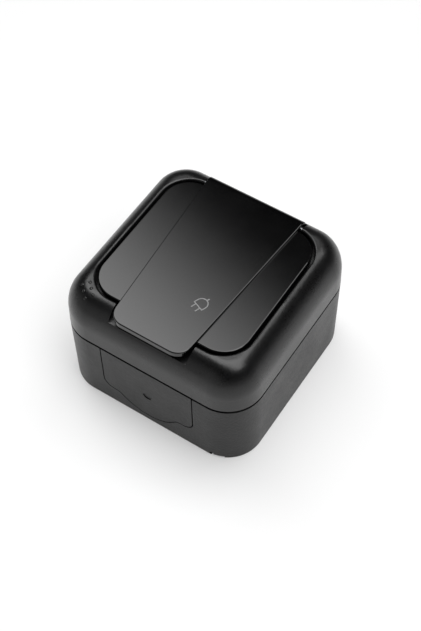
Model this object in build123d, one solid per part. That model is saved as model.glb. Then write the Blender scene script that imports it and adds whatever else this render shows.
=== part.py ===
from build123d import *
import os

# Weatherproof mains socket for outdoor walls: a screwed-on box, a cover with a sprung lid, and the
# side-earthed two-pin socket inside. It lies on its back, as it would on a bench.
# The origin is the centre of the wall face. X points right, Y to the hinge, Z out of the wall.
# All sizes are in millimetres.

# Wall box
box_width = 75.94
box_corner = 13.4
box_height = 31.0
box_wall = 2.4
box_floor = 2.5
box_foot_edge = 0.5
wall_hole_spacing = 56.0
wall_hole_diameter = 4.5
wall_hole_pad = 9.5
wall_hole_pad_height = 1.5

# Cable entry panel that slides into the front wall from above, its right shoulder above its left
entry_width = 37.0
entry_shoulder = 8.8
entry_right_shoulder = 10.2
entry_lobe_foot = 3.3
entry_ledge = 0.725
entry_corner = 4.0
entry_blend = 4.0
entry_gap = 0.42
entry_overlap = 1.6
entry_flange = 1.6
entry_mark_height = 16.2
entry_mark_diameter = 3.4
entry_mark_depth = 0.28
entry_knockout_diameter = 20.0
entry_knockout_groove = 0.8
entry_knockout_skin = 1.0
guide_wall = 1.6

# Drain hole mark and the shallow drain notch beside it, at the foot of the front wall
drain_mark_x = 26.2
drain_mark_height = 1.1
drain_mark_diameter = 1.6
drain_mark_depth = 1.4
drain_notch_width = 4.6
drain_notch_height = 1.0
drain_notch_depth = 0.9

# Cover
cover_step = 0.03
parting_gap = 1.2
skirt_height = 6.0
skirt_lean = 0.2
rounding_width = 8.4
rounding_height = 12.35
cover_wall = 2.2
recess_width = 60.2
recess_length = 59.0
recess_corner = 11.0
recess_wall = 2.0
recess_depth = 6.55
rim_edge = 0.7
deck_thickness = 2.0

# Gasket between box and cover
land_width = 1.0
gasket_groove = 1.2
gasket_width = 1.1
gasket_height = 2.7
gasket_gap = 0.1

# Lid
lid_side_gap = 0.85
lid_end_gap = 1.0
wing_drop = 0.05
wing_thickness = 2.0
wing_edge = 0.5
strip_rise = 0.8
strip_width = 34.4
strip_taper = 0.07
strip_gap = 0.7
strip_edge = 0.45
lip_finger_gap = 2.7
strip_bridge = 2.2
strip_margin = 2.0
lip_reach = 7.0
lip_thickness = 2.0
lip_corner = 5.5

# Hinge
hinge_setback = 1.5
knuckle_radius = 2.9
knuckle_gap = 0.3
hinge_block_side = 8.6
hinge_floor = 2.2
pin_diameter = 2.0
pin_running_gap = 0.05
pin_seat_gap = 0.02
pin_grip = 3.0
pin_play = 0.2

# Closing spring
spring_wire = 0.56
spring_leg_wire = 0.5
spring_length = 10.0
spring_pin_gap = 0.14
spring_gap = 0.2
spring_end_gap = 0.5
spring_lid_leg = 6.0
spring_leg_gap = 0.16
spring_cover_leg = 5.2
spring_lug_width = 2.4
spring_lug_length = 1.0
spring_lug_roof = 0.8

# Socket well
well_diameter = 39.6
well_depth = 17.5
well_wall = 2.0
well_floor = 2.0
well_flange_width = 3.2
well_flange = 1.8
well_gap = 0.3
well_gasket = 0.8
well_mouth_edge = 0.6
guide_rib_width = 4.8
guide_rib_reach = 1.5
guide_rib_drop = 3.0
pin_hole_spacing = 19.0
pin_hole_diameter = 5.5
pin_hole_lead = 0.6
snap_width = 6.0
snap_reach = 1.0
snap_height = 1.6
snap_gap = 0.2

# Lid seal
seal_inside = 42.0
seal_width = 3.0
seal_seat = 0.5
seal_side_gap = 0.05

# Contact carrier
carrier_width = 40.0
carrier_length = 39.2
carrier_corner = 6.0
carrier_gap = 0.1
carrier_height = 19.6
plug_pin_length = 19.0
plug_pin_diameter = 4.8
pin_tip_gap = 0.7
pocket_gap = 0.3
platform_drop = 5.5
platform_start = 7.5
platform_inside = 5.6

# Contacts and terminals
contact_grip = 0.2
contact_sheet = 0.7
contact_leaf_length = 7.0
contact_top_gap = 1.6
contact_height = 13.0
tail_width = 7.4
tail_sheet = 1.0
tail_shift = 1.5
terminal_inset = 6.1
terminal_margin = 4.0
fork_spring_sheet = 0.4
fork_spring_height = 5.0
fork_spring_gap = 0.05
earth_width = 6.0
earth_arm_gap = 0.2
earth_bulge = 1.9
earth_bulge_low = 3.0
earth_bulge_high = 14.0
earth_bend = 1.6
earth_slot_gap = 0.6
clamp_size = 6.0
clamp_thickness = 0.9

# Screws
screw_diameter = 3.0
screw_head_diameter = 5.6
screw_head_height = 1.9
screw_head_edge = 0.6
screw_thread_gap = 0.05
screw_clear_gap = 0.2
screw_slot_width = 0.8
screw_slot_depth = 0.9
screw_tip_gap = 0.8
cover_screw_place = 23.0
cover_screw_length = 25.0
cover_screw_column = 8.4
cover_screw_well_depth = 2.6
cover_screw_well_gap = 0.5
cover_seal_thickness = 0.8
carrier_screw_x = 24.5
carrier_screw_y = 12.0
carrier_screw_length = 9.0
carrier_ear_radius = 3.6
carrier_ear_thickness = 3.0
carrier_ear_height = 14.0
terminal_screw_length = 6.5

# Levels and places that follow from the sizes above
box_half = box_width / 2
corner_centre = box_half - box_corner
box_inside = box_half - box_wall
cover_half = box_half + cover_step
cover_foot = box_height + parting_gap
skirt_top = cover_foot + skirt_height
rim = skirt_top + rounding_height
deck = rim - recess_depth
deck_under = deck - deck_thickness
recess_half_x = recess_width / 2
recess_half_y = recess_length / 2
land_half = box_half - land_width
gasket_foot = box_height - gasket_groove
gasket_top = gasket_foot + gasket_height
wing_top = rim - wing_drop
wing_under = wing_top - wing_thickness
strip_top = wing_top + strip_rise
lip_under = strip_top - lip_thickness
lip_front = -recess_half_y - lip_reach
hinge_y = recess_half_y + hinge_setback
hinge_z = strip_top - knuckle_radius
trough_radius = knuckle_radius + knuckle_gap
trough_floor = hinge_z - trough_radius
pin_radius = pin_diameter / 2
coil_radius = pin_radius + spring_pin_gap + spring_wire / 2
spring_turns = round(spring_length / spring_wire)
spring_half = spring_wire * spring_turns / 2
well_radius = well_diameter / 2
well_outside = well_radius + well_wall
flange_radius = well_outside + well_flange_width
flange_under = deck + well_gasket
flange_top = flange_under + well_flange
well_bed = flange_top - well_depth
well_under = well_bed - well_floor
carrier_top = well_under - carrier_gap
carrier_foot = carrier_top - carrier_height
platform = carrier_top - platform_drop
pin_x = pin_hole_spacing / 2
terminal_x = pin_x + tail_shift
leaf_inside = plug_pin_diameter / 2 - contact_grip / 2
leaf_outside = leaf_inside + contact_sheet
leaf_end = contact_leaf_length / 2
web_end = leaf_end + contact_sheet
contact_top = carrier_top - contact_top_gap
contact_foot = contact_top - contact_height
screw_radius = screw_diameter / 2
thread_radius = screw_radius + screw_thread_gap
clear_radius = screw_radius + screw_clear_gap
head_radius = screw_head_diameter / 2
front = -box_half
entry_lobe_half = entry_width / 2 - entry_corner - entry_ledge
earth_arm = well_radius + earth_arm_gap + tail_sheet / 2
terminal_y = terminal_inset - carrier_length / 2
standing = (Align.CENTER, Align.CENTER, Align.MIN)
tiny = 0.001


def block(low, high):
    """Box between two opposite corners."""
    size = Vector(*high) - Vector(*low)
    return Pos(*low) * Box(*size, align=Align.MIN)


def post(place, radius, low, high):
    """Upright cylinder at a place in plan."""
    return Pos(*place, low) * Cylinder(radius, high - low, align=standing)


def tube(outside, inside, low, high):
    """Upright ring about the Z axis."""
    return post((0, 0), outside, low, high) - post((0, 0), inside, low, high)


def cross_rod(radius, left, right):
    """Cylinder along the hinge axis."""
    rod = Cylinder(radius, right - left, align=standing)
    return Pos(left, hinge_y, hinge_z) * Rot(0, 90, 0) * rod


def housing_slab(half, low, high):
    """Slab with the housing's rounded square outline, its corners concentric with the box's."""
    outline = RectangleRounded(2 * half, 2 * half, half - corner_centre)
    return Pos(0, 0, low) * extrude(outline, high - low)


def recess_slab(grow, low, high):
    """Slab with the outline of the lid's recess, grown all round."""
    outline = RectangleRounded(recess_width + 2 * grow, recess_length + 2 * grow, recess_corner + grow)
    return Pos(0, 0, low) * extrude(outline, high - low)


def strip_half(y):
    """Half width of the lid's raised strip, which widens towards the hinge."""
    return strip_width / 2 + strip_taper * y


def strip_plan(near, far, grow=0.0):
    """Plan of the raised strip between two stations along Y."""
    corners = [
        (-strip_half(near) - grow, near),
        (strip_half(near) + grow, near),
        (strip_half(far) + grow, far),
        (-strip_half(far) - grow, far),
    ]
    return make_face(Polyline(*corners, close=True))


def upright(plan, low, high):
    """Plan extruded between two levels."""
    return Pos(0, 0, low) * extrude(plan, high - low, dir=(0, 0, 1))


def screw(place, seat, length):
    """Slotted pan-head screw with its head's underside on a seat."""
    top = seat + screw_head_height
    slot = Box(screw_head_diameter, screw_slot_width, 2 * screw_slot_depth)
    head = post(place, head_radius, seat, top)
    head = fillet(head.edges().group_by(Axis.Z)[-1], screw_head_edge)
    head -= Pos(*place, top) * slot
    return head + post(place, screw_radius, seat - length, seat)


def screws(places, seat, length):
    """Group of like screws."""
    return Compound([screw(place, seat, length) for place in places])


def mirrored_places(x, y):
    """A place and the one opposite it about the centre."""
    return [(x, y), (-x, -y)]


pin_end = strip_half(hinge_y) + strip_gap + pin_grip
cover_screw_places = mirrored_places(cover_screw_place, -cover_screw_place)
carrier_screw_places = mirrored_places(carrier_screw_x, carrier_screw_y)
cover_screw_floor = deck - cover_screw_well_depth
cover_screw_seat = cover_screw_floor + cover_seal_thickness
carrier_screw_seat = carrier_ear_height + carrier_ear_thickness
terminal_places = [(-terminal_x, terminal_y), (0, terminal_y), (terminal_x, terminal_y)]
terminal_seat = platform + tail_sheet + clamp_thickness


def entry_half(side, shoulder, grow):
    """Left or right half of the entry panel's outline, grown all round: a plate with a round lobe at
    its foot, which a hollow arc blends into the plate's shoulder."""
    sag = shoulder - entry_lobe_foot
    radius = (entry_lobe_half**2 + sag**2) / (2 * sag) - entry_blend
    foot = shoulder - grow
    width = entry_width + 2 * grow
    plate = Pos(0, (foot + box_height) / 2) * Rectangle(width, box_height - foot)
    lobe = Pos(0, entry_lobe_foot + radius) * Circle(radius + grow)
    below_top = Pos(0, box_height / 2) * Rectangle(width, box_height)
    face = plate + (lobe & below_top)
    corners = face.vertices().filter_by(lambda v: abs(v.Y - foot) < tiny)
    face = fillet(corners.sort_by(lambda v: abs(v.X))[2:], entry_corner + grow)
    corners = face.vertices().filter_by(lambda v: abs(v.Y - foot) < tiny)
    face = fillet(corners.sort_by(lambda v: abs(v.X))[:2], entry_blend - grow)
    return face & (Pos(side * width / 4, box_height / 2) * Rectangle(width / 2, box_height))


def entry_slab(grow, near, far):
    """Entry panel's outline grown all round, between two distances from the front face."""
    face = entry_half(-1, entry_shoulder, grow) + entry_half(1, entry_right_shoulder, grow)
    return Pos(0, front + near, 0) * extrude(Plane.XZ * face, far - near, dir=(0, 1, 0))


def make_wall_box():
    """Lower half of the housing, moulded in one piece with its bosses, posts and guides."""
    shell = housing_slab(box_half, 0, box_height)
    shell = fillet(shell.edges().group_by(Axis.Z)[0], box_foot_edge)
    shell -= housing_slab(box_inside, box_floor, box_height)
    shell -= housing_slab(land_half, gasket_foot, box_height)
    cutout = entry_slab(entry_gap, 0, box_wall)
    shell -= cutout
    wall_back = front + box_wall
    hook_front = wall_back + 2 * entry_gap + entry_flange
    hook_back = hook_front + guide_wall
    guide_edge = entry_width / 2 + entry_overlap + entry_gap
    pad_top = box_floor + wall_hole_pad_height
    for side in (-1, 1):
        near, far = sorted((side * guide_edge, side * (guide_edge + guide_wall)))
        shell += block((near, wall_back, box_floor), (far, hook_back, gasket_foot))
        near, far = sorted((side * (guide_edge - guide_wall), side * (guide_edge + guide_wall)))
        shell += block((near, hook_front, box_floor), (far, hook_back, gasket_foot))
        pad = (side * wall_hole_spacing / 2, 0)
        shell += post(pad, wall_hole_pad / 2, 0, pad_top)
        shell -= post(pad, wall_hole_diameter / 2, 0, pad_top)
    hole_foot = cover_screw_seat - cover_screw_length - screw_tip_gap
    for place in cover_screw_places:
        shell += post(place, cover_screw_column / 2, 0, box_height)
        shell -= post(place, thread_radius, hole_foot, box_height)
    hole_foot = carrier_screw_seat - carrier_screw_length - screw_tip_gap
    for place in carrier_screw_places:
        shell += post(place, carrier_ear_radius, 0, carrier_ear_height)
        shell -= post(place, thread_radius, hole_foot, carrier_ear_height)
    mark = Cylinder(drain_mark_diameter / 2, 2 * drain_mark_depth)
    shell -= Pos(drain_mark_x, front, drain_mark_height) * Rot(90, 0, 0) * mark
    notch = housing_slab(box_half, 0, drain_notch_height)
    notch -= housing_slab(box_half - drain_notch_depth, 0, drain_notch_height)
    notch_end = drain_mark_x + drain_notch_width
    return shell - (notch & block((drain_mark_x, front, 0), (notch_end, 0, drain_notch_height)))


def make_entry_panel():
    """Slide-in panel with a wider flange behind the wall and a weakened circle to cut out for a cable."""
    flange_front = box_wall + entry_gap
    back = front + flange_front + entry_flange
    above_floor = block((-box_half, front, box_floor + entry_gap), (box_half, back, box_height))
    panel = entry_slab(0, 0, flange_front)
    panel += entry_slab(entry_overlap, flange_front, flange_front + entry_flange) & above_floor
    panel -= housing_slab(land_half, gasket_foot, box_height)
    reach = flange_front + entry_flange - entry_knockout_skin
    knockout_radius = entry_knockout_diameter / 2
    ring = Circle(knockout_radius) - Circle(knockout_radius - entry_knockout_groove)
    groove = extrude(Plane.XZ * ring, reach, dir=(0, -1, 0))
    panel -= Pos(0, back, entry_mark_height) * groove
    mark = Cylinder(entry_mark_diameter / 2, 2 * entry_mark_depth)
    return panel - Pos(0, front, entry_mark_height) * Rot(90, 0, 0) * mark


def make_box_gasket():
    """Rubber ring that lies in the box's groove and is pressed by the cover."""
    outside = land_half - gasket_gap
    ring = housing_slab(outside, gasket_foot, gasket_top)
    return ring - housing_slab(outside - gasket_width, gasket_foot, gasket_top)


def cover_form(inset):
    """Outer form of the cover, or its hollow when inset: a skirt that rolls over to the rim."""
    corner = box_corner + cover_step - inset
    across = rounding_width - inset
    rise = rounding_height - inset
    top = skirt_top + rise
    roll_centre = (corner - skirt_lean - across, skirt_top)
    skirt = Line((corner, cover_foot), (corner - skirt_lean, skirt_top))
    roll = EllipticalCenterArc(roll_centre, across, rise, start_angle=0, arc_size=90)
    back = Polyline(roll @ 1, (0, top), (0, cover_foot), (corner, cover_foot))
    section = Plane.XZ * make_face([skirt, roll, back])
    side = extrude(section, corner_centre, both=True)
    quarter = revolve(section, Axis.Z, 90)
    form = block((-corner_centre, -corner_centre, cover_foot), (corner_centre, corner_centre, top))
    for turn in range(4):
        form += Rot(0, 0, 90 * turn) * Pos(corner_centre, 0, 0) * side
        form += Rot(0, 0, 90 * turn) * Pos(corner_centre, corner_centre, 0) * quarter
    return form


def gasket_room():
    """Shallow step inside the cover's foot that presses on the gasket."""
    room = housing_slab(land_half, cover_foot, gasket_top)
    return room - housing_slab(land_half - gasket_gap - 2 * gasket_width, cover_foot, gasket_top)


def spring_cover_leg_rod(grow):
    """The spring's cover leg, which leaves the foot of the coil, or the hole for it when grown."""
    rod = Cylinder(spring_leg_wire / 2 + grow, spring_cover_leg + grow, align=standing)
    return Pos(spring_wire / 2 - spring_half, hinge_y, hinge_z - coil_radius) * Rot(90, 0, 0) * rod


def make_cover():
    """Upper half of the housing: a shell with the lid's recess, its deck and the hinge trough."""
    recess = recess_slab(0, deck, rim)
    sunk = cover_form(0) - recess
    upper = rim - recess_depth / 4
    high_edges = sunk.edges().filter_by(lambda e: e.center().Z > upper)
    sunk = fillet(high_edges.filter_by(lambda e: recess.distance_to(e.center()) < tiny), rim_edge)
    hollow = cover_form(cover_wall) - recess_slab(recess_wall, deck_under, rim)
    block_half = strip_half(recess_half_y) + hinge_block_side
    block_foot = trough_floor - hinge_floor
    hollow -= block((-block_half, recess_half_y, block_foot), (block_half, cover_half, rim))
    bridge_half = strip_half(-recess_half_y) + strip_gap + cover_wall
    notch_floor = lip_under - lip_finger_gap
    bridge_foot = notch_floor - strip_bridge
    hollow -= block((-bridge_half, -cover_half, bridge_foot), (bridge_half, -recess_half_y, rim))
    for place in cover_screw_places:
        hollow -= post(place, cover_screw_column / 2, cover_foot, rim)
    cover = sunk - hollow
    for place in cover_screw_places:
        cover += post(place, cover_screw_column / 2, box_height, deck_under)
        cover -= post(place, clear_radius, box_height, deck)
        cover -= post(place, head_radius + cover_screw_well_gap, cover_screw_floor, deck)
    cover -= gasket_room()
    cover -= post((0, 0), well_outside + well_gap, deck_under, deck)
    cover -= upright(strip_plan(-cover_half, rim_edge - recess_half_y, strip_gap), notch_floor, rim)
    lane = upright(strip_plan(recess_half_y - rim_edge, cover_half, strip_gap), deck, strip_top)
    trough = cross_rod(trough_radius, -cover_half, cover_half)
    trough += block((-cover_half, 0, trough_floor), (cover_half, hinge_y, strip_top))
    cover -= lane & trough
    pocket_end = pin_end + pin_grip + pin_play
    cover -= cross_rod(pin_radius + pin_seat_gap, -pin_end - pin_play, pocket_end)
    lug_x = spring_wire / 2 - spring_half
    lug_front = hinge_y - spring_cover_leg
    lug_top = hinge_z - coil_radius + spring_leg_wire / 2 + spring_leg_gap + spring_lug_roof
    lug_low = (lug_x - spring_lug_width / 2, lug_front, deck)
    lug_high = (lug_x + spring_lug_width / 2, lug_front + spring_lug_length, lug_top)
    return cover + (block(lug_low, lug_high) - spring_cover_leg_rod(spring_leg_gap))


def spring_lid_leg_rod(grow):
    """The spring's lid leg, which leaves the top of the coil, or the hole for it when grown."""
    rod = Cylinder(spring_leg_wire / 2 + grow, spring_lid_leg + grow, align=standing)
    return Pos(spring_half - spring_wire / 2, hinge_y, hinge_z + coil_radius) * Rot(90, 0, 0) * rod


def make_lid():
    """One-piece lid: two wings in the recess and a raised strip from the finger lip to the hinge."""
    wing_half_x = recess_half_x - lid_side_gap
    wing_half_y = recess_half_y - lid_end_gap
    plan = RectangleRounded(2 * wing_half_x, 2 * wing_half_y, recess_corner - lid_side_gap)
    wings = upright(plan, wing_under, wing_top)
    wings = fillet(wings.edges().group_by(Axis.Z)[-1], wing_edge)
    back = hinge_y + knuckle_radius
    outline = strip_plan(lip_front, back)
    outline = fillet(outline.vertices().group_by(Axis.Y)[0], lip_corner)
    body = block((-cover_half, lip_front, lip_under), (cover_half, hinge_y, strip_top))
    body += cross_rod(knuckle_radius, -cover_half, cover_half)
    strip = upright(outline, hinge_z - knuckle_radius, strip_top) & body
    top_edges = strip.edges().filter_by(lambda e: abs(e.center().Z - strip_top) < tiny)
    strip = fillet(top_edges.sort_by(Axis.Y)[:-1], strip_edge)
    lid = wings + strip
    pocket = upright(strip_plan(lip_front, back, -strip_margin), wing_under, wing_under + strip_rise)
    seal_radius = seal_inside / 2
    lid -= pocket & post((0, 0), seal_radius - strip_margin, wing_under, strip_top)
    groove_outside = seal_radius + seal_width + seal_side_gap
    lid -= tube(groove_outside, seal_radius - seal_side_gap, wing_under, wing_under + seal_seat)
    lid -= cross_rod(pin_radius + pin_running_gap, -cover_half, cover_half)
    room = spring_half + spring_end_gap
    room_radius = coil_radius + spring_wire / 2 + spring_gap
    below = hinge_z - 2 * knuckle_radius
    lid -= cross_rod(room_radius, -room, room)
    lid -= block((-room, hinge_y - room_radius, below), (room, hinge_y + 2 * knuckle_radius, hinge_z))
    lid -= block((-room, hinge_y - 2 * knuckle_radius, below), (room, hinge_y, wing_under))
    return lid - spring_lid_leg_rod(spring_leg_gap)


def make_lid_spring():
    """Close-wound torsion spring on the pin, one leg in the lid and one in the cover's lug."""
    wire = spring_wire / 2
    section = Pos(0, coil_radius) * Rectangle(2 * (spring_half - wire), wire)
    for turn in range(spring_turns):
        section += Pos(wire - spring_half + turn * spring_wire, coil_radius) * Circle(wire)
    coil = Pos(0, hinge_y, hinge_z) * revolve(section, Axis.X)
    return coil + spring_lid_leg_rod(0) + spring_cover_leg_rod(0)


def make_hinge_pin():
    """Plain steel pin, held in the cover's two cheeks."""
    return cross_rod(pin_radius, -pin_end, pin_end)


def make_lid_seal():
    """Rubber ring in a groove under the lid, pressed on the well's flange when the lid is shut."""
    return tube(seal_inside / 2 + seal_width, seal_inside / 2, flange_top, wing_under + seal_seat)


def make_socket_well():
    """Round well for the plug, snapped into the cover's deck."""
    cup = post((0, 0), well_outside, well_under, flange_top)
    cup += post((0, 0), flange_radius, flange_under, flange_top)
    cup -= post((0, 0), well_radius, well_bed, flange_top)
    circles = cup.edges().filter_by(GeomType.CIRCLE)
    mouth = circles.filter_by(lambda e: abs(e.radius - well_radius) < tiny).sort_by(Axis.Z)[-1]
    cup = fillet(mouth, well_mouth_edge)
    mid_wall = well_radius + well_wall / 2
    rib_half = guide_rib_width / 2
    slot_half = earth_width / 2 + earth_slot_gap
    hole_radius = pin_hole_diameter / 2
    lead = Cone(hole_radius, hole_radius + pin_hole_lead, pin_hole_lead, align=standing)
    for side in (-1, 1):
        near, far = sorted((side * (well_radius - guide_rib_reach), side * mid_wall))
        cup += block((near, -rib_half, well_bed), (far, rib_half, flange_top - guide_rib_drop))
        cup -= post((side * pin_x, 0), hole_radius, well_under, well_bed)
        cup -= Pos(side * pin_x, 0, well_bed - pin_hole_lead) * lead
        near, far = sorted((side * (well_radius - well_wall), side * (well_outside + well_wall)))
        cup -= block((-slot_half, near, well_under), (slot_half, far, deck))
    barb_top = deck_under - snap_gap
    barb_reach = well_outside + well_gap + snap_reach
    barb_half = snap_width / 2
    barb = block((mid_wall, -barb_half, barb_top - snap_height), (barb_reach, barb_half, barb_top))
    barb = chamfer(barb.edges().group_by(Axis.Z)[0].sort_by(Axis.X)[-1], snap_reach)
    for turn in range(4):
        cup += Rot(0, 0, 45 + 90 * turn) * barb
    return cup


def make_well_gasket():
    """Flat rubber ring between the well's flange and the deck."""
    return tube(flange_radius, well_outside + well_gap, deck, flange_under)


def make_contact_carrier():
    """Moulded block that holds the contacts, with two ears screwed to the box's posts."""
    plan = RectangleRounded(carrier_width, carrier_length, carrier_corner)
    body = upright(plan, carrier_foot, carrier_top)
    ear_foot = carrier_ear_height
    ear_top = carrier_screw_seat
    for x, y in carrier_screw_places:
        near, far = sorted((0, x))
        body += block((near, y - carrier_ear_radius, ear_foot), (far, y + carrier_ear_radius, ear_top))
        body += post((x, y), carrier_ear_radius, ear_foot, ear_top)
        body -= post((x, y), clear_radius, ear_foot, ear_top)
    earth_half = max(earth_width, clamp_size) / 2 + pocket_gap
    body -= block((-earth_half, -carrier_length, platform), (earth_half, carrier_length, carrier_top))
    pocket_foot = well_bed - plug_pin_length - pin_tip_gap
    pocket_half = leaf_outside + fork_spring_sheet + pocket_gap
    pocket_near = -web_end - fork_spring_sheet - pocket_gap
    pocket_far = leaf_end + pocket_gap
    fork_foot = contact_foot - pocket_gap
    tail_half = tail_width / 2 + pocket_gap
    tail_far = pocket_gap - leaf_end
    for side in (-1, 1):
        x = side * pin_x
        body -= block((x - pocket_half, pocket_near, fork_foot), (x + pocket_half, pocket_far, carrier_top))
        body -= post((x, 0), pin_hole_diameter / 2, pocket_foot, carrier_top)
        x = side * terminal_x
        body -= block((x - tail_half, -platform_start, platform), (x + tail_half, tail_far, carrier_top))
        near, far = sorted((side * platform_inside, side * carrier_width))
        body -= block((near, -carrier_length, platform), (far, -platform_start, carrier_top))
    hole_foot = terminal_seat - terminal_screw_length - screw_tip_gap
    for place in terminal_places:
        body -= post(place, clear_radius, hole_foot, carrier_top)
    return body


def make_contact(side):
    """Sheet-metal fork that grips one plug pin, with a flat tail to its terminal."""
    leaf = block((leaf_inside, -web_end, contact_foot), (leaf_outside, leaf_end, contact_top))
    fork = leaf + mirror(leaf, Plane.YZ)
    fork += block((-leaf_outside, -web_end, contact_foot), (leaf_outside, -leaf_end, contact_top))
    fork = Pos(side * pin_x, 0, 0) * fork
    tail_low = (side * terminal_x - tail_width / 2, terminal_y - terminal_margin, platform)
    tail_high = (side * terminal_x + tail_width / 2, -leaf_end, platform + tail_sheet)
    fork += block(tail_low, tail_high)
    return fork - post((side * terminal_x, terminal_y), thread_radius, platform, platform + tail_sheet)


def make_fork_springs():
    """Steel spring clips that press the forks' leaves together."""
    inside = leaf_outside + fork_spring_gap
    outside = inside + fork_spring_sheet
    near = -web_end - fork_spring_gap
    low = contact_foot
    high = contact_foot + fork_spring_height
    arm = block((inside, near, low), (outside, leaf_end, high))
    web = block((-outside, near - fork_spring_sheet, low), (outside, near, high))
    clip = arm + mirror(arm, Plane.YZ) + web
    return Compound([Pos(side * pin_x, 0, 0) * clip for side in (-1, 1)])


def make_earth_bridge():
    """Bent earth strap with a clip at each side of the well."""
    middle = platform + tail_sheet / 2
    low = well_bed + earth_bulge_low
    high = well_bed + earth_bulge_high
    points = [
        (earth_arm, high),
        (earth_arm - earth_bulge, (low + high) / 2),
        (earth_arm, low),
        (earth_arm, middle),
        (-earth_arm, middle),
        (-earth_arm, low),
        (earth_bulge - earth_arm, (low + high) / 2),
        (-earth_arm, high),
    ]
    path = FilletPolyline(*points, radius=earth_bend)
    strap = Plane.YZ * trace(path, tail_sheet)
    bridge = extrude(strap, earth_width / 2, both=True)
    return bridge - post((0, terminal_y), thread_radius, platform, platform + tail_sheet)


def make_terminal_clamps():
    """Square clamp plates under the terminal screws."""
    half = clamp_size / 2
    foot = platform + tail_sheet
    plates = []
    for x, y in terminal_places:
        plate = block((x - half, y - half, foot), (x + half, y + half, terminal_seat))
        plates.append(plate - post((x, y), thread_radius, foot, terminal_seat))
    return Compound(plates)


def make_cover_screw_seals():
    """Rubber washers under the cover screws' heads."""
    rings = []
    for place in cover_screw_places:
        ring = post(place, head_radius, cover_screw_floor, cover_screw_seat)
        rings.append(ring - post(place, thread_radius, cover_screw_floor, cover_screw_seat))
    return Compound(rings)


pieces = {
    "wall_box": make_wall_box(),
    "cable_entry_panel": make_entry_panel(),
    "box_gasket": make_box_gasket(),
    "cover_frame": make_cover(),
    "lid": make_lid(),
    "lid_seal": make_lid_seal(),
    "hinge_pin": make_hinge_pin(),
    "lid_spring": make_lid_spring(),
    "socket_well": make_socket_well(),
    "well_gasket": make_well_gasket(),
    "contact_carrier": make_contact_carrier(),
    "line_contact": make_contact(-1),
    "neutral_contact": make_contact(1),
    "fork_springs": make_fork_springs(),
    "earth_bridge": make_earth_bridge(),
    "terminal_clamps": make_terminal_clamps(),
    "terminal_screws": screws(terminal_places, terminal_seat, terminal_screw_length),
    "carrier_screws": screws(carrier_screw_places, carrier_screw_seat, carrier_screw_length),
    "cover_screws": screws(cover_screw_places, cover_screw_seat, cover_screw_length),
    "cover_screw_seals": make_cover_screw_seals(),
}

os.makedirs("parts", exist_ok=True)
for name, shape in pieces.items():
    export_step(shape, f"parts/{name}.step")
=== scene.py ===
import math

import bmesh
import bpy
from mathutils import Matrix, Vector


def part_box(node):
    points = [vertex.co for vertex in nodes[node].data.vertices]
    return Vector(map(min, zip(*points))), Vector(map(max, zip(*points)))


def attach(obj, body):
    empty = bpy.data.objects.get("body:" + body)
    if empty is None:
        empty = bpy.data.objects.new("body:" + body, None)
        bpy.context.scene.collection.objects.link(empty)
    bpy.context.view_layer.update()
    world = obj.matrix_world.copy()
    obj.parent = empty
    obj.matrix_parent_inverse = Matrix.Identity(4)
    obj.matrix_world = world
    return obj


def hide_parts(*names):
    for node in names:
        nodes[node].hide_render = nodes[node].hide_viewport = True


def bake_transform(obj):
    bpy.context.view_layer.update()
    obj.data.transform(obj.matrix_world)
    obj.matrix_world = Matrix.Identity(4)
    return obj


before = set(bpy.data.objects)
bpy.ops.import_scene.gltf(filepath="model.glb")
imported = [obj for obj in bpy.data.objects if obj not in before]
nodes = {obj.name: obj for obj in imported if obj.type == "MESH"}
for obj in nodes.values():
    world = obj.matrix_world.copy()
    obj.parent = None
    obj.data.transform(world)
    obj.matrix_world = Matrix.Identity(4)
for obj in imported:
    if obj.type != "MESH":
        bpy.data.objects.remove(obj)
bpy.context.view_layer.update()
mm = 0.001


# Wall box: the lower half of the housing, moulded in black weatherproof plastic.
# Its mould is spark-eroded, which leaves a fine matt grain. Two screws hold it to the wall.

box_black = (0.0026, 0.0026, 0.0027, 1.0)
box_pale_black = (0.0048, 0.0048, 0.0050, 1.0)
box_gloss = 0.32
box_roughness = 0.40
box_grain = 0.75 * mm
box_grain_depth = 0.065 * mm
pit_detail = 1.5
cloud_size = 9 * mm
cloud_detail = 3.0
deep_end = 0.35
pale_end = 0.65
smoothest = 0.6
roughness_swing = 0.4


class Shade:
    """One socket of a finish. Sums and products of sockets add the Math nodes that work them out."""

    def __init__(self, tree, socket=None):
        self.tree = tree
        self.socket = socket

    def node(self, kind, settings, sockets, output=0):
        """Adds a node: its settings first, a ramp's stops too, then its sockets' values and links."""
        made = self.tree.nodes.new("ShaderNode" + kind)
        for name, value in settings.items():
            if name == "stops":
                self.set_stops(made.color_ramp, value)
            else:
                setattr(made, name, value)
        for name, value in sockets.items():
            if isinstance(value, Shade):
                self.tree.links.new(value.socket, made.inputs[name])
            else:
                made.inputs[name].default_value = value
        return Shade(self.tree, made.outputs[output]) if made.outputs else None

    def set_stops(self, ramp, stops):
        while len(ramp.elements) < len(stops):
            ramp.elements.new(1.0)
        for element, (position, colour) in zip(ramp.elements, stops):
            element.position = position
            element.color = colour

    def sum_of(self, operation, first, second):
        return self.node("Math", {"operation": operation}, {0: first, 1: second})

    def __add__(self, other):
        return self.sum_of("ADD", self, other)

    def __sub__(self, other):
        return self.sum_of("SUBTRACT", self, other)

    def __rsub__(self, other):
        return self.sum_of("SUBTRACT", other, self)

    def __mul__(self, other):
        return self.sum_of("MULTIPLY", self, other)

    def __truediv__(self, other):
        return self.sum_of("DIVIDE", self, other)

    __radd__ = __add__
    __rmul__ = __mul__


def new_finish(name):
    """An empty finish, and the piece's own coordinates that its patterns lie on."""
    finish = bpy.data.materials.new(name)
    finish.use_nodes = True
    finish.node_tree.nodes.clear()
    place = Shade(finish.node_tree).node("TexCoord", {}, {}, "Object")
    return finish, place


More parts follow.
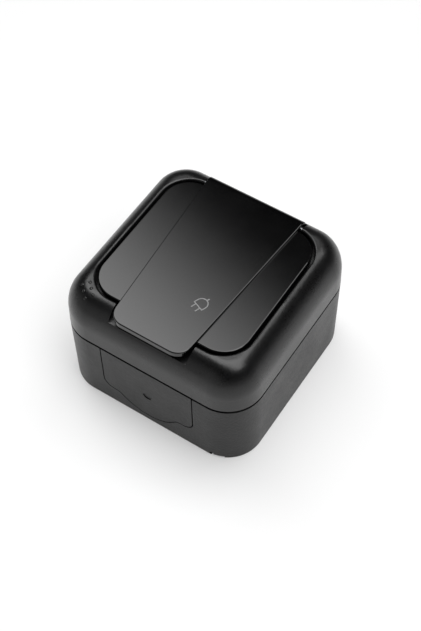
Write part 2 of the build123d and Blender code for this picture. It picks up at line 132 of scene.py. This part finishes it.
def mottle(place, size, detail):
    """Cloudy values between 0 and 1, in spots of about the given size."""
    return place.node("TexNoise", {}, {"Vector": place, "Scale": 1 / size, "Detail": detail})


def shades(value, *stops):
    """Turns a value into a colour."""
    return value.node("ValToRGB", {"stops": stops}, {"Fac": value})


def bumped(height, depth):
    """The surface's normal with a height between 0 and 1 raised on it."""
    return height.node("Bump", {}, {"Strength": 1.0, "Distance": depth, "Height": height}, "Normal")


def close_finish(finish, place, sockets):
    surface = place.node("BsdfPrincipled", {}, sockets)
    place.node("OutputMaterial", {}, {"Surface": surface})
    return finish


def moulded_plastic(name, deep, pale, gloss, roughness, grain, depth):
    """Plastic from an eroded mould: fine pits, and faint clouds where it cooled at different speeds."""
    finish, place = new_finish(name)
    pits = mottle(place, grain, pit_detail)
    clouds = mottle(place, cloud_size, cloud_detail)
    return close_finish(finish, place, {
        "Base Color": shades((pits + clouds) / 2, (deep_end, deep), (pale_end, pale)),
        "Roughness": roughness * (smoothest + (pits + clouds) * roughness_swing),
        "Specular IOR Level": gloss,
        "Normal": bumped(pits, depth),
    })


def dress(finish, *names):
    for name in names:
        for slot in nodes[name].material_slots:
            slot.material = finish


housing_plastic = moulded_plastic(
    "housing_plastic", box_black, box_pale_black, box_gloss, box_roughness, box_grain, box_grain_depth)
dress(housing_plastic, "wall_box")


# Cable entry panel: a slide-in moulding of the same batch of plastic, held by the cover.
# It is cut or swapped to suit the cable, and has the same grain as the box.

dress(housing_plastic, "cable_entry_panel")


# Gaskets and seals: soft black rubber, cut or moulded rings that are squeezed between the mouldings.
# Their skin is dull, with a trace of the talc that keeps them from sticking.

rubber_black = (0.012, 0.012, 0.012, 1.0)
rubber_talc = (0.040, 0.040, 0.039, 1.0)
rubber_roughness = 0.62
rubber_skin = 0.2 * mm
rubber_skin_detail = 2.0
rubber_skin_depth = 0.012 * mm
talc_spot = 1.6 * mm
talc_detail = 4.0
talc_start = 0.45
talc_full = 0.8
talc_dulling = 0.25


def soft_rubber():
    finish, place = new_finish("seal_rubber")
    talc = mottle(place, talc_spot, talc_detail)
    skin = mottle(place, rubber_skin, rubber_skin_detail)
    return close_finish(finish, place, {
        "Base Color": shades(talc, (talc_start, rubber_black), (talc_full, rubber_talc)),
        "Roughness": rubber_roughness + talc * talc_dulling,
        "Normal": bumped(skin, rubber_skin_depth),
    })


dress(soft_rubber(), "box_gasket", "well_gasket", "lid_seal", "cover_screw_seals")


# Contact carrier: a pressed block of pale thermoset, which stands heat and holds every live part.
# Its filler shows as fine specks. Two screws hold it to the floor of the wall box.

carrier_cream = (0.46, 0.43, 0.37, 1.0)
carrier_speck = (0.30, 0.275, 0.23, 1.0)
carrier_roughness = 0.46
carrier_roughness_swing = 0.2
speck_size = 0.5 * mm
speck_detail = 4.0
speck_depth = 0.008 * mm
speck_share = 0.7
flow_size = 7 * mm
flow_detail = 2.0
flow_share = 0.3
speck_end = 0.38
cream_end = 0.55
mottle_middle = 0.5


def pressed_thermoset():
    finish, place = new_finish("carrier_thermoset")
    specks = mottle(place, speck_size, speck_detail)
    flow = mottle(place, flow_size, flow_detail)
    filler = specks * speck_share + flow * flow_share
    return close_finish(finish, place, {
        "Base Color": shades(filler, (speck_end, carrier_speck), (cream_end, carrier_cream)),
        "Roughness": carrier_roughness + (flow - mottle_middle) * carrier_roughness_swing,
        "Normal": bumped(specks, speck_depth),
    })


dress(pressed_thermoset(), "contact_carrier")


# Contacts: forks and the earth strap stamped and folded from brass sheet.
# The rolling lines run along the strip, and the brass is slightly tarnished in patches.

brass_bright = (0.80, 0.60, 0.29, 1.0)
brass_dull = (0.58, 0.40, 0.17, 1.0)
brass_roughness = 0.27
brass_stretch = (1.0, 0.06, 1.0)
rolled_line = 0.12 * mm
rolled_line_detail = 2.0
rolled_line_depth = 0.002 * mm
tarnish_patch = 4 * mm
tarnish_detail = 3.0
bright_end = 0.4
dull_end = 0.7
metal_roughness_swing = 0.15


def rolled_metal(name, bright, dull, roughness, stretch):
    """Bare metal with lines drawn along one way and duller patches."""
    finish, place = new_finish(name)
    drawn = place.node("Mapping", {}, {"Vector": place, "Scale": stretch})
    lines = mottle(drawn, rolled_line, rolled_line_detail)
    patches = mottle(place, tarnish_patch, tarnish_detail)
    wear = lines - mottle_middle + (patches - mottle_middle)
    return close_finish(finish, place, {
        "Base Color": shades(patches, (bright_end, bright), (dull_end, dull)),
        "Metallic": 1.0,
        "Roughness": roughness + wear * metal_roughness_swing,
        "Normal": bumped(lines, rolled_line_depth),
    })


contact_brass = rolled_metal("contact_brass", brass_bright, brass_dull, brass_roughness, brass_stretch)
dress(contact_brass, "line_contact", "neutral_contact", "earth_bridge")


# Fork springs: clips folded from hardened blue-grey steel strip, which press the brass forks together.
# They are pushed over the forks before these go into the carrier, and hold by their own grip.

strip_bright = (0.42, 0.43, 0.46, 1.0)
strip_dull = (0.30, 0.31, 0.34, 1.0)
strip_roughness = 0.24
strip_stretch = (0.06, 1.0, 1.0)
spring_strip = rolled_metal("spring_strip", strip_bright, strip_dull, strip_roughness, strip_stretch)
dress(spring_strip, "fork_springs")


# Terminals and screws: zinc-plated steel, turned and rolled, with a bright slightly blue plating.
# The hinge pin is a length of the same plated rod.

zinc_bright = (0.66, 0.67, 0.69, 1.0)
zinc_dull = (0.50, 0.51, 0.54, 1.0)
zinc_roughness = 0.26
zinc_stretch = (1.0, 1.0, 0.08)
plated_steel = rolled_metal("plated_steel", zinc_bright, zinc_dull, zinc_roughness, zinc_stretch)
dress(plated_steel, "terminal_clamps", "terminal_screws", "carrier_screws", "cover_screws", "hinge_pin")


# Socket well: a separate black moulding, smooth inside so that a plug slides in easily.
# Its flange clamps a gasket against the underside of the cover's deck.

well_black = (0.007, 0.007, 0.0073, 1.0)
well_pale_black = (0.011, 0.011, 0.0115, 1.0)
well_gloss = 0.5
well_roughness = 0.26
well_grain = 0.6 * mm
well_grain_depth = 0.003 * mm
well_plastic = moulded_plastic(
    "well_plastic", well_black, well_pale_black, well_gloss, well_roughness, well_grain, well_grain_depth)
dress(well_plastic, "socket_well")


# Cover frame: the upper half of the housing, rolled over to the rim of the lid's recess.
# It has a finer grain than the box. Small raised dots mark its front left corner by touch.

cover_grain = 0.65 * mm
cover_grain_depth = 0.024 * mm
cover_gloss = 0.42
cover_roughness = 0.30
cover_plastic = moulded_plastic(
    "cover_plastic", box_black, box_pale_black, cover_gloss, cover_roughness, cover_grain, cover_grain_depth)
dress(cover_plastic, "cover_frame")

dot_radius = 0.62 * mm
dot_height = 0.36 * mm
dot_pitch = 2.6 * mm
dot_sunk = 0.05 * mm
dot_sides = 20
dot_rings = 12
dot_crease = math.radians(40)
dot_group = Vector((-27.3, -30.3, 60)) * mm
dot_rows = (-0.5, 0.5)
dot_columns = (-1, 0, 1)


def deselect_all():
    if bpy.context.object and bpy.context.object.mode != "OBJECT":
        bpy.ops.object.mode_set(mode="OBJECT")
    bpy.ops.object.select_all(action="DESELECT")


def named(name):
    piece = bpy.context.object
    piece.name = name
    piece.data.name = name
    return piece


def settle():
    """Puts the active piece's place, turn and scale into its mesh."""
    bpy.ops.object.mode_set(mode="OBJECT")
    bpy.ops.object.transform_apply(location=True, rotation=True, scale=True)


def raised_dot():
    """A low dome: the upper half of a ball, flattened."""
    deselect_all()
    bpy.ops.mesh.primitive_uv_sphere_add(segments=dot_sides, ring_count=dot_rings, radius=dot_radius)
    bpy.ops.object.mode_set(mode="EDIT")
    bpy.ops.mesh.select_all(action="SELECT")
    bpy.ops.mesh.bisect(plane_co=(0, 0, 0), plane_no=(0, 0, 1), clear_inner=True, use_fill=True)
    bpy.ops.mesh.select_all(action="SELECT")
    bpy.ops.transform.resize(value=(1, 1, dot_height / dot_radius), center_override=(0, 0, 0))
    bpy.ops.object.mode_set(mode="OBJECT")
    return named("tactile_dots")


def place_dots():
    along = Vector((1, -1, 0)).normalized()
    inward = Vector((1, 1, 0)).normalized()
    dots = []
    for row in dot_rows:
        for column in dot_columns:
            above = dot_group + along * column * dot_pitch + inward * row * dot_pitch
            found, spot, normal, face = nodes["cover_frame"].ray_cast(above, Vector((0, 0, -1)))
            dot = raised_dot()
            dot.location = spot - normal * dot_sunk
            dot.rotation_euler = normal.to_track_quat("Z", "Y").to_euler()
            dots.append(dot)
    deselect_all()
    for dot in dots:
        dot.select_set(True)
    bpy.context.view_layer.objects.active = dots[0]
    bpy.ops.object.join()
    settle()
    bpy.ops.object.shade_smooth_by_angle(angle=dot_crease)
    return named("tactile_dots")


tactile_dots = place_dots()
tactile_dots.data.materials.append(cover_plastic)
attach(tactile_dots, "housing")


# Lid spring: a close-wound torsion spring of hard-drawn wire on the hinge pin, which shuts the lid.
# One leg lies in a lug of the cover, the other in a hole in the lid.

hinge_y = 31.0 * mm
hinge_z = 48.4 * mm
coil_radius = 1.42 * mm
wire_radius = 0.27 * mm
wire_sides = 12
wire_reach = 1.2 * wire_radius
wire_crease = math.radians(50)
wire_bright = (0.50, 0.51, 0.53, 1.0)
wire_dull = (0.36, 0.37, 0.39, 1.0)
wire_roughness = 0.22
wire_stretch = (1.0, 1.0, 1.0)
coil_end = 4.76 * mm
coil_turns = 17.5
steps_in_turn = 24
cover_leg = 5.2 * mm
lid_leg = 6.0 * mm


def ring_at(mesh, middle):
    """Selects the ring of edges round a point at one end of the wire."""
    for edge in mesh.edges:
        near = all((vertex.co - middle).length < wire_reach for vertex in edge.verts)
        edge.select_set(near and edge.is_boundary)
    mesh.select_flush_mode()


def wound_spring():
    deselect_all()
    axis = Vector((0, hinge_y, hinge_z))
    start = Vector((-coil_end, hinge_y, hinge_z - coil_radius))
    finish = Vector((coil_end, hinge_y, hinge_z + coil_radius))
    bpy.ops.mesh.primitive_circle_add(
        vertices=wire_sides, radius=wire_radius, location=axis, rotation=(math.pi / 2, 0, 0))
    bpy.ops.object.transform_apply(location=False, rotation=True)
    bpy.ops.object.mode_set(mode="EDIT")
    bpy.ops.mesh.select_all(action="SELECT")
    bpy.ops.transform.translate(value=start - axis)
    bpy.ops.object.mode_set(mode="OBJECT")
    coil = bpy.context.object.modifiers.new("coil", "SCREW")
    coil.axis = "X"
    coil.angle = math.tau * coil_turns
    coil.screw_offset = 2 * coil_end
    coil.steps = round(steps_in_turn * coil_turns)
    coil.render_steps = coil.steps
    bpy.ops.object.modifier_apply(modifier="coil")
    settle()
    bpy.ops.object.mode_set(mode="EDIT")
    bpy.ops.mesh.select_mode(type="EDGE")
    for end, length in ((start, cover_leg), (finish, lid_leg)):
        bpy.ops.mesh.select_all(action="DESELECT")
        ring_at(bmesh.from_edit_mesh(bpy.context.object.data), end)
        bpy.ops.mesh.extrude_region_move(TRANSFORM_OT_translate={"value": (0, -length, 0)})
        bpy.ops.mesh.edge_face_add()
    bpy.ops.mesh.select_all(action="SELECT")
    bpy.ops.mesh.normals_make_consistent(inside=False)
    bpy.ops.object.mode_set(mode="OBJECT")
    bpy.ops.object.shade_smooth_by_angle(angle=wire_crease)
    return named("wound_lid_spring")


wound_lid_spring = wound_spring()
drawn_wire = rolled_metal("drawn_wire", wire_bright, wire_dull, wire_roughness, wire_stretch)
wound_lid_spring.data.materials.append(drawn_wire)
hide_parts("lid_spring")
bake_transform(wound_lid_spring)


# Lid: one black moulding with a smoother satin face, from a polished and lightly blasted mould.
# Two wings lie in the recess. The raised strip carries the finger lip, the hinge and a printed sign.

lid_black = (0.0010, 0.0010, 0.0011, 1.0)
lid_pale_black = (0.0019, 0.0019, 0.0020, 1.0)
lid_gloss = 0.5
lid_roughness = 0.08
lid_grain = 0.5 * mm
lid_grain_depth = 0.0012 * mm
lid_plastic = moulded_plastic(
    "lid_plastic", lid_black, lid_pale_black, lid_gloss, lid_roughness, lid_grain, lid_grain_depth)
dress(lid_plastic, "lid")


# Plug sign: a generic plug in pale grey ink, pad-printed on the strip of the lid.
# A half-round body in outline, with two pins and the start of its cord.

sign_place = Vector((7.85, -16.65, 0)) * mm
sign_turn = math.radians(-22)
sign_line = 0.38 * mm
sign_half = 2.1 * mm
sign_side = 1.5 * mm
sign_pin = 1.1 * mm
sign_pin_length = 1.8 * mm
sign_cord_length = 0.9 * mm
sign_arc_steps = 15
sign_match = 0.01 * mm
sign_weld = 0.02 * mm
ink_thickness = 0.03 * mm
ink_sunk = 0.01 * mm
ink_spot = 0.25 * mm
ink_spot_detail = 3.0
ink_depth = 0.002 * mm
ink_roughness = 0.42
ink_roughness_swing = 0.15
thin_end = 0.35
full_end = 0.55
ink_pale = (0.215, 0.215, 0.215, 1.0)
ink_thin = (0.145, 0.145, 0.148, 1.0)


def pick_edges(wanted):
    """Selects the edges of the piece in edit mode whose middle passes a test."""
    mesh = bmesh.from_edit_mesh(bpy.context.object.data)
    for edge in mesh.edges:
        middle = (edge.verts[0].co + edge.verts[1].co) / 2
        edge.select_set(edge.is_boundary and wanted(middle))
    mesh.select_flush_mode()


def near(first, second):
    return abs(first - second) < sign_match


def push_edges(wanted, reach):
    bpy.ops.mesh.select_all(action="DESELECT")
    pick_edges(wanted)
    bpy.ops.mesh.extrude_region_move(TRANSFORM_OT_translate={"value": reach})


def printed_sign():
    deselect_all()
    half = sign_line / 2
    bpy.ops.mesh.primitive_plane_add(size=sign_line)
    bpy.ops.object.mode_set(mode="EDIT")
    bpy.ops.mesh.select_mode(type="EDGE")
    bpy.ops.mesh.select_all(action="SELECT")
    bpy.ops.transform.translate(value=(-sign_half, 0, 0))
    end = half - sign_half
    stops = [line + edge for line in (-sign_pin, sign_pin, sign_half) for edge in (-half, half)]
    for stop in stops:
        push_edges(lambda middle: near(middle.x, end), Vector((stop - end, 0, 0)))
        end = stop
    push_edges(lambda middle: near(abs(middle.x), sign_pin) and near(middle.y, -half),
               Vector((0, -sign_pin_length, 0)))
    push_edges(lambda middle: near(abs(middle.x), sign_half) and near(middle.y, half),
               Vector((0, sign_side - half, 0)))
    bpy.ops.mesh.select_all(action="DESELECT")
    pick_edges(lambda middle: near(middle.x, sign_half) and near(middle.y, sign_side))
    bpy.ops.mesh.spin(steps=sign_arc_steps, angle=-math.pi, center=(0, sign_side, 0), axis=(0, 0, 1))
    bpy.ops.mesh.select_all(action="SELECT")
    bpy.ops.mesh.remove_doubles(threshold=sign_weld)
    top = sign_side + (sign_half + half) * math.cos(math.pi / sign_arc_steps / 2)
    push_edges(lambda middle: near(middle.x, 0) and near(middle.y, top), Vector((0, sign_cord_length, 0)))
    bpy.ops.mesh.select_all(action="SELECT")
    bpy.ops.mesh.normals_make_consistent(inside=False)
    bpy.ops.object.mode_set(mode="OBJECT")
    sign = named("plug_sign")
    ink = sign.modifiers.new("ink", "SOLIDIFY")
    ink.thickness = ink_thickness
    ink.offset = 1.0
    bpy.ops.object.modifier_apply(modifier="ink")
    sign.location = sign_place + Vector((0, 0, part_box("lid")[1].z - ink_sunk))
    sign.rotation_euler = (0, 0, sign_turn)
    settle()
    return sign


def printed_ink():
    finish, place = new_finish("sign_ink")
    cover = mottle(place, ink_spot, ink_spot_detail)
    return close_finish(finish, place, {
        "Base Color": shades(cover, (thin_end, ink_thin), (full_end, ink_pale)),
        "Roughness": ink_roughness + cover * ink_roughness_swing,
        "Normal": bumped(cover, ink_depth),
    })


plug_sign = printed_sign()
plug_sign.data.materials.append(printed_ink())
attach(plug_sign, "lid_body")


# Studio: a pale matt floor with a painted pool of light that greys away from the part, and a dim room with
# two softboxes, one overhead and one behind on the right.
# Each is a soft-edged patch of the room, given by how far it lies from overhead for each metre of height.
# A weak low fill shines from the front left, and the room glows a little along its horizon.

floor_size = 80.0
# The floor's greys are painted light: a pool of light that fades away from the part, painted into the paper's
# colour.
floor_pool_lit = (0.82, 0.82, 0.82, 1.0)
floor_pool_fading = (0.78, 0.78, 0.78, 1.0)
floor_painted_dim = (0.40, 0.40, 0.40, 1.0)
floor_painted_far_dim = (0.34, 0.34, 0.34, 1.0)
floor_pool_lit_end = 0.13
floor_pool_fading_end = 0.22
floor_painted_dim_end = 0.35
floor_painted_far_dim_end = 0.8
floor_cloud = 0.3
floor_cloud_detail = 2.0
floor_roughness = 0.75
floor_roughness_swing = 0.1
floor_gloss = 0.2
floor_white_share = 0.3
floor_white_start = 0.16
floor_white_end = 0.30
overhead_turn = math.radians(-17)
overhead_sides = (-1.0, 0.9)
overhead_ends = (-0.15, 0.424)
overhead_light = 5.0
behind_sides = (-0.10, 0.50)
behind_ends = (0.42, 0.74)
behind_light = 5.0
softbox_edge = 0.115
softbox_foot = (0.1, 0.2)
room_light = 0.02
horizon_light = 0.18
horizon_top = 0.35
fill_side = math.radians(30)
fill_light = 0.42
fill_spread = (0.5, 0.95)
fill_top = (0.3, 0.8)
least_rise = 0.02
white = (1.0, 1.0, 1.0, 1.0)


def soft_step(value, outside, inside):
    """0 up to one value, 1 from another on, and smooth between."""
    return value.node("MapRange", {"interpolation_type": "SMOOTHSTEP"},
                      {"Value": value, "From Min": outside, "From Max": inside})


def matt_floor():
    """Pale paper with a painted pool of light: greyer far off, as if the light fell away from the part. Near
    the part some of it shows as plain white, so its shadow is lighter.
    """
    finish, place = new_finish("studio_floor")
    finish.cycles.emission_sampling = "NONE"
    clouds = mottle(place, floor_cloud, floor_cloud_detail)
    distance = place.node("VectorMath", {"operation": "LENGTH"}, {0: place}, "Value")
    # The paper's colour greys with distance from the part: a painted falloff of light, not a change in the
    # paper.
    paper = place.node("BsdfPrincipled", {}, {
        "Base Color": shades(distance, (floor_pool_lit_end, floor_pool_lit), (floor_pool_fading_end, floor_pool_fading),
                             (floor_painted_dim_end, floor_painted_dim), (floor_painted_far_dim_end, floor_painted_far_dim)),
        "Roughness": floor_roughness + clouds * floor_roughness_swing,
        "Specular IOR Level": floor_gloss,
    })
    plain = place.node("Emission", {}, {"Color": white, "Strength": 1.0})
    seen = place.node("LightPath", {}, {}, "Is Camera Ray")
    for kind in ("Is Glossy Ray", "Is Transmission Ray"):
        seen = seen.sum_of("MAXIMUM", seen, place.node("LightPath", {}, {}, kind))
    share = seen * floor_white_share * soft_step(distance, floor_white_end, floor_white_start)
    surface = place.node("MixShader", {}, {0: share, 1: paper, 2: plain})
    place.node("OutputMaterial", {}, {"Surface": surface})
    return finish


deselect_all()
bpy.ops.mesh.primitive_plane_add(size=floor_size)
studio_floor = named("studio_floor")
studio_floor.data.materials.append(matt_floor())


def soft_band(value, ends):
    low, high = ends
    rising = soft_step(value, low - softbox_edge, low + softbox_edge)
    return rising * soft_step(value, high + softbox_edge, high - softbox_edge)


def softbox(x, y, turn, sides, ends):
    """A soft-edged rectangle of light, turned about the vertical."""
    across = x * math.cos(turn) + y * math.sin(turn)
    along = y * math.cos(turn) - x * math.sin(turn)
    return soft_band(across, sides) * soft_band(along, ends)


def light_room():
    room = bpy.data.worlds.new("studio_room")
    room.use_nodes = True
    room.node_tree.nodes.clear()
    sight = Shade(room.node_tree).node("TexCoord", {}, {}, "Generated")
    rise = sight.node("SeparateXYZ", {}, {"Vector": sight}, "Z")
    above = sight.sum_of("MAXIMUM", rise, least_rise)
    width = sight.node("SeparateXYZ", {}, {"Vector": sight}, "X")
    depth = sight.node("SeparateXYZ", {}, {"Vector": sight}, "Y")
    x = width / above
    y = depth / above
    boxes = softbox(x, y, overhead_turn, overhead_sides, overhead_ends) * overhead_light
    boxes = boxes + softbox(x, y, 0, behind_sides, behind_ends) * behind_light
    glow = room_light + horizon_light * (1 - soft_step(rise, 0, horizon_top))
    to_fill = width * -math.sin(fill_side) + depth * -math.cos(fill_side)
    glow = glow + fill_light * soft_step(to_fill, *fill_spread) * (1 - soft_step(rise, *fill_top))
    strength = glow + boxes * soft_step(rise, *softbox_foot)
    light = sight.node("Background", {}, {"Color": white, "Strength": strength})
    sight.node("OutputWorld", {}, {"Surface": light})
    bpy.context.scene.world = room


light_room()
bpy.context.scene.view_settings.view_transform = "Standard"


# Camera: where the photograph was taken from, in front on the right and well above.
# Its lens and its slight roll come from fitting the part's edges, and the shift puts the part in the frame.

view_turn = math.radians(34.484)
view_rise = math.radians(55.603)
view_roll = math.radians(-1.607)
view_distance = 439.333 * mm
view_height = 25 * mm
view_across = -0.919 * mm
view_up = -3.425 * mm
focus_pixels = 1238.914
image_width = 421
image_height = 631
centre_x = 204.172
centre_y = 315.669
sensor = 36.0

level = Vector((math.cos(view_turn), math.sin(view_turn), 0))
outward = Vector((math.sin(view_turn), -math.cos(view_turn), 0))
back = outward * math.cos(view_rise) + Vector((0, 0, math.sin(view_rise)))
rising = back.cross(level)
right = level * math.cos(view_roll) + rising * math.sin(view_roll)
up = rising * math.cos(view_roll) - level * math.sin(view_roll)
target = Vector((0, 0, view_height)) + right * view_across + up * view_up
bpy.ops.object.camera_add()
camera = bpy.context.object
turned = Matrix((right, up, back)).transposed().to_4x4()
camera.matrix_world = Matrix.Translation(target + back * view_distance) @ turned
camera.data.sensor_width = sensor
camera.data.lens = sensor * focus_pixels / image_height
camera.data.shift_x = (image_width / 2 - centre_x) / image_height
camera.data.shift_y = (centre_y - image_height / 2) / image_height
bpy.context.scene.camera = camera
